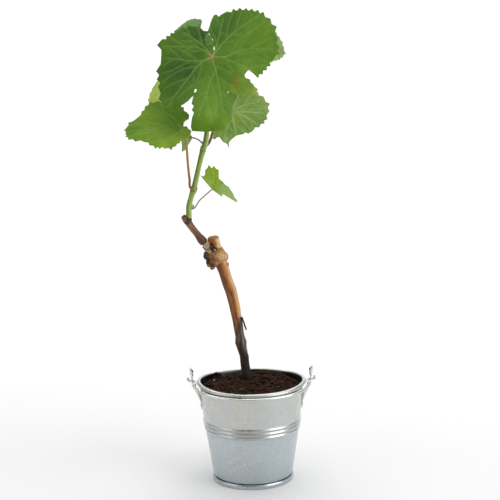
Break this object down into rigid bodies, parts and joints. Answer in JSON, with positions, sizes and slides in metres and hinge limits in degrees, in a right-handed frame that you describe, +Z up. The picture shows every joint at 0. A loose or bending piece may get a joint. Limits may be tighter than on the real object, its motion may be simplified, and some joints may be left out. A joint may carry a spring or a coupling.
{
  "type": "potted grapevine",
  "caption": "Small grafted grapevine with a leaning rootstock and broad lobed leaves, growing in a ribbed zinc bucket with a swinging wire bail.",
  "frame": {"origin": "centre of the bucket's flat underside, on the surface that it stands on", "axes": "+Z up; +X through the right ear and along the bail's axis; -Y towards the front, where the bail lies down"},
  "size_m": [0.1504, 0.1039, 0.3766],
  "materials": {
    "zinc": "satin hot-dip galvanised sheet with faint spangle",
    "bail_wire": "bright drawn galvanised wire",
    "soil": "dark crumbly potting peat",
    "waxed_bark": "brown bark, coated with tan grafting wax in its upper part",
    "callus": "rough cream and brown graft callus",
    "graft_wax": "smooth orange grafting wax over the cut top",
    "cane_bark": "ripe brown cane bark with fine lengthwise ridges",
    "green_stem": "smooth green shoot",
    "leaf": "satin mid-green leaf",
    "leaf_pale": "matt grey-green leaf underside",
    "leaf_young": "yellow-green young leaf"
  },
  "bodies": {
    "pot_and_vine": {"bucket": "zinc", "ear_left": "zinc", "ear_right": "zinc", "soil": "soil", "rootstock": "waxed_bark", "graft_knot": "callus", "rootstock_stub": "graft_wax", "cane": "cane_bark", "shoot_lower": "green_stem", "shoot_upper": "green_stem", "leaf_top": "leaf", "leaf_left": "leaf", "leaf_right": "leaf_pale", "leaf_right_upper": "leaf", "leaf_back_left": "leaf_young", "leaf_back_top": "leaf_young", "leaf_back_right": "leaf_pale", "leaf_small": "leaf_pale", "leaf_young": "leaf_young"},
    "bail": {"bail": "bail_wire"}
  },
  "joints": [
    {"name": "bail_swing", "type": "hinge", "parent": "pot_and_vine", "child": "bail", "pos_m": [0, 0, 0.0808], "axis": [-1, 0, 0], "range_deg": [0, 95]}
  ]
}
